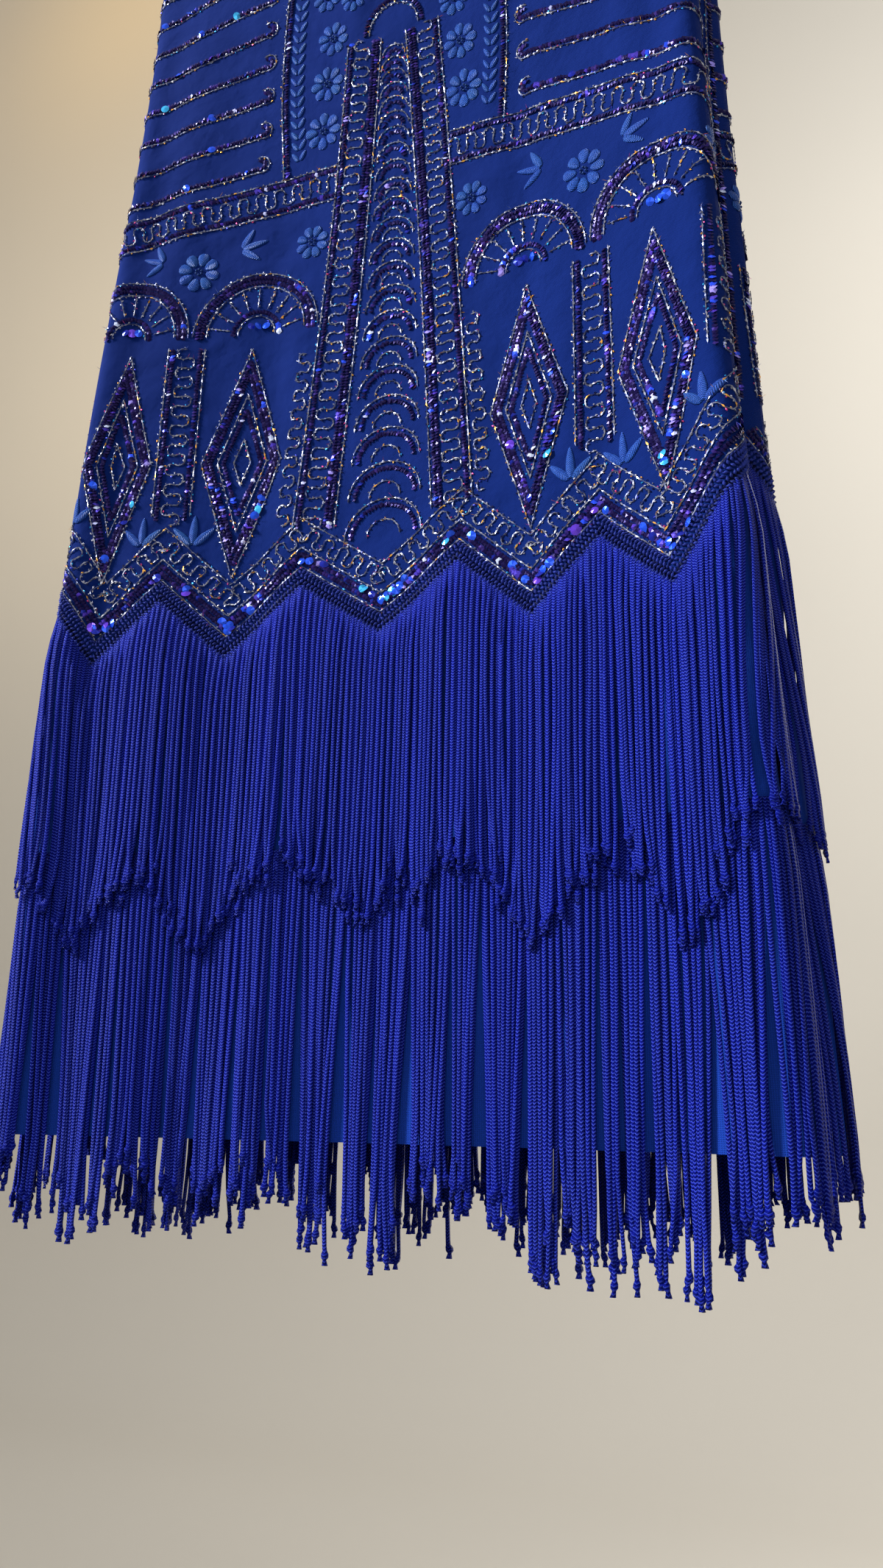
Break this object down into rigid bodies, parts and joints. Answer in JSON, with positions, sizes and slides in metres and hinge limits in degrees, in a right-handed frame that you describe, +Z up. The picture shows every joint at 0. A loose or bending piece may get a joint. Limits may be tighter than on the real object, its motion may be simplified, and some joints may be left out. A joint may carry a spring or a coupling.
{
  "type": "flapper dress on hanger",
  "caption": "Sleeveless royal blue evening dress with a beaded zigzag overlay and hanging fringe, open as a hollow tube, hung by its straps on a plain hanger.",
  "frame": {"origin": "where the hanger's hook hangs, on the underside of the top of its bend", "axes": "+Z up, the front of the dress faces -Y, +X is to the right of someone who looks at the front"},
  "size_m": [0.4459, 0.0934, 1.1954],
  "materials": {
    "overlay": "sheer royal blue crepe with sewn sequins, beads and metallic thread",
    "lining": "smooth royal blue knit",
    "fringe": "satin twisted cord fringe with knotted ends",
    "beadwork": "small glossy sequins and beads with a coloured shimmer",
    "hanger": "plain pale grey",
    "hook": "plain bent wire"
  },
  "bodies": {
    "root": {"overlay_front": "overlay", "overlay_back": "overlay", "lining_front": "lining", "lining_back": "lining", "fringe_upper_front": "fringe", "fringe_upper_back": "fringe", "fringe_lower_front": "fringe", "fringe_lower_back": "fringe", "hanger_body": "hanger", "hanger_hook": "hook"}
  },
  "joints": []
}
